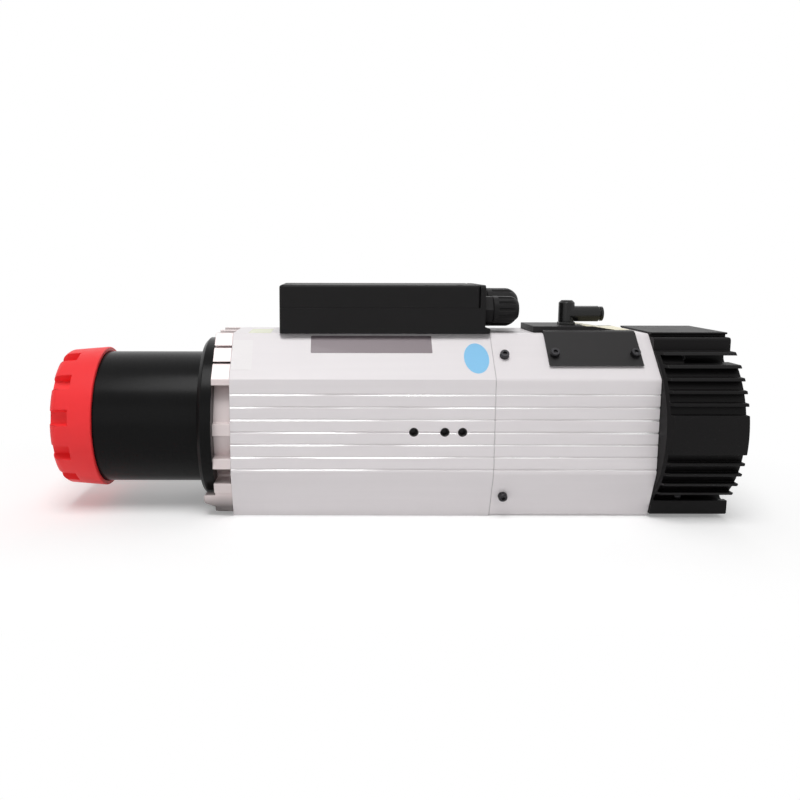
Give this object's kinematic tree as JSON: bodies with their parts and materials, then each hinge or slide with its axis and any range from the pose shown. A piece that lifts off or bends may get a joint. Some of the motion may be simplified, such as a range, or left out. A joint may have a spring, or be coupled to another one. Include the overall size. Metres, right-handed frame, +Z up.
{
  "type": "motor spindle",
  "caption": "Air-cooled electric motor spindle with tool taper, power drawbar, junction box, finned fan cover and nose cap.",
  "frame": {"origin": "middle of the four mounting holes, in the bottom face of the motor shell", "axes": "+X along the spindle axis from the nose to the fan, +Z up to the junction box, spindle axis 70 mm above the origin"},
  "size_m": [0.515, 0.15, 0.177],
  "materials": {
    "cap_plastic": "moulded coral red, satin",
    "black_anodised": "satin black",
    "bright_aluminium": "machined",
    "shell_coating": "fine silver-white powder coat",
    "bare_aluminium": "machined",
    "black_casting": "black powder coat",
    "cover_paint": "dark grey paint",
    "box_plastic": "black, fine grain",
    "fan_plastic": "black",
    "fitting_plastic": "black",
    "fitting_metal": "black plated",
    "screw_steel": "blackened",
    "tool_steel": "ground",
    "bearing_steel": "polished",
    "cage_resin": "brown laminate",
    "lamination_steel": "stacked sheet",
    "winding_copper": "varnished copper",
    "seal_rubber": "black",
    "terminal_plastic": "pale grey"
  },
  "bodies": {
    "casing": {"motor_shell": "shell_coating", "front_bracket": "bright_aluminium", "nose_housing": "black_anodised", "flange_screws": "screw_steel", "bearing_retainer": "black_anodised", "end_shield": "bare_aluminium", "rear_shell": "shell_coating", "rear_shell_screws": "screw_steel", "stator_core": "lamination_steel", "stator_windings": "winding_copper", "bearing_outer_rings": "bearing_steel", "outer_spacer": "tool_steel", "cylinder_standoffs": "tool_steel", "cylinder_body": "bare_aluminium", "cylinder_cover": "bare_aluminium", "cylinder_screws": "screw_steel", "air_inlet_block": "bare_aluminium", "sensor_bracket": "tool_steel", "tool_sensors": "tool_steel", "fan_cover": "black_casting", "fan_cover_screws": "screw_steel", "fan_guard": "black_casting", "fan_motor": "fan_plastic", "junction_box_base": "box_plastic", "junction_box_gasket": "seal_rubber", "junction_box_lid": "box_plastic", "junction_box_screws": "screw_steel", "terminal_block": "terminal_plastic", "power_gland_body": "box_plastic", "power_gland_nut": "box_plastic", "signal_gland_body": "box_plastic", "signal_gland_nut": "box_plastic", "gland_locknuts": "box_plastic", "access_cover": "cover_paint", "access_cover_screws": "screw_steel", "fitting_stem": "fitting_metal"},
    "spindle": {"spindle_shaft": "tool_steel", "drive_keys": "tool_steel", "rotor_core": "lamination_steel", "rotor_end_rings": "bare_aluminium", "bearing_inner_rings": "bearing_steel", "inner_spacer": "tool_steel", "front_locknut": "tool_steel", "rear_locknut": "tool_steel", "sensor_ring": "tool_steel", "disc_springs": "tool_steel"},
    "ball_sets": {"bearing_balls": "bearing_steel", "bearing_cages": "cage_resin"},
    "drawbar_unit": {"drawbar": "tool_steel", "drawbar_nut": "tool_steel", "gripper": "tool_steel"},
    "piston_unit": {"piston": "bare_aluminium", "piston_seal": "seal_rubber", "piston_return_springs": "tool_steel"},
    "fan_rotor": {"fan_impeller": "fan_plastic"},
    "elbow": {"fitting_elbow": "fitting_plastic"},
    "collar": {"release_collar": "fitting_plastic"},
    "cap": {"nose_cap": "cap_plastic"}
  },
  "joints": [
    {"name": "spindle_spin", "type": "hinge", "parent": "casing", "child": "spindle", "pos_m": [0, 0, 0.07], "axis": [1, 0, 0], "continuous": true},
    {"name": "ball_sets_spin", "type": "hinge", "parent": "casing", "child": "ball_sets", "pos_m": [0, 0, 0.07], "axis": [1, 0, 0], "continuous": true},
    {"name": "piston_slide", "type": "slide", "parent": "casing", "child": "piston_unit", "axis": [-1, 0, 0], "range_m": [0, 0.008], "stiffness_N_per_m": 3000, "deforming": ["piston_return_springs"]},
    {"name": "drawbar_slide", "type": "slide", "parent": "spindle", "child": "drawbar_unit", "axis": [-1, 0, 0], "range_m": [0, 0.006], "stiffness_N_per_m": 20000, "deforming": ["disc_springs"]},
    {"name": "fan_spin", "type": "hinge", "parent": "casing", "child": "fan_rotor", "pos_m": [0.25, 0, 0.07], "axis": [1, 0, 0], "continuous": true},
    {"name": "cap_pull", "type": "slide", "parent": "casing", "child": "cap", "axis": [-1, 0, 0], "range_m": [0, 0.06]},
    {"name": "elbow_swivel", "type": "hinge", "parent": "casing", "child": "elbow", "pos_m": [0.165, 0, 0.15], "axis": [0, 0, 1], "continuous": true},
    {"name": "collar_press", "type": "slide", "parent": "elbow", "child": "collar", "axis": [-1, 0, 0], "range_m": [0, 0.0012], "stiffness_N_per_m": 800}
  ],
  "couplings": [
    {"joint": "ball_sets_spin", "follows": "spindle_spin", "ratio": 0.43},
    {"joint": "drawbar_slide", "follows": "piston_slide", "ratio": 0.75}
  ]
}
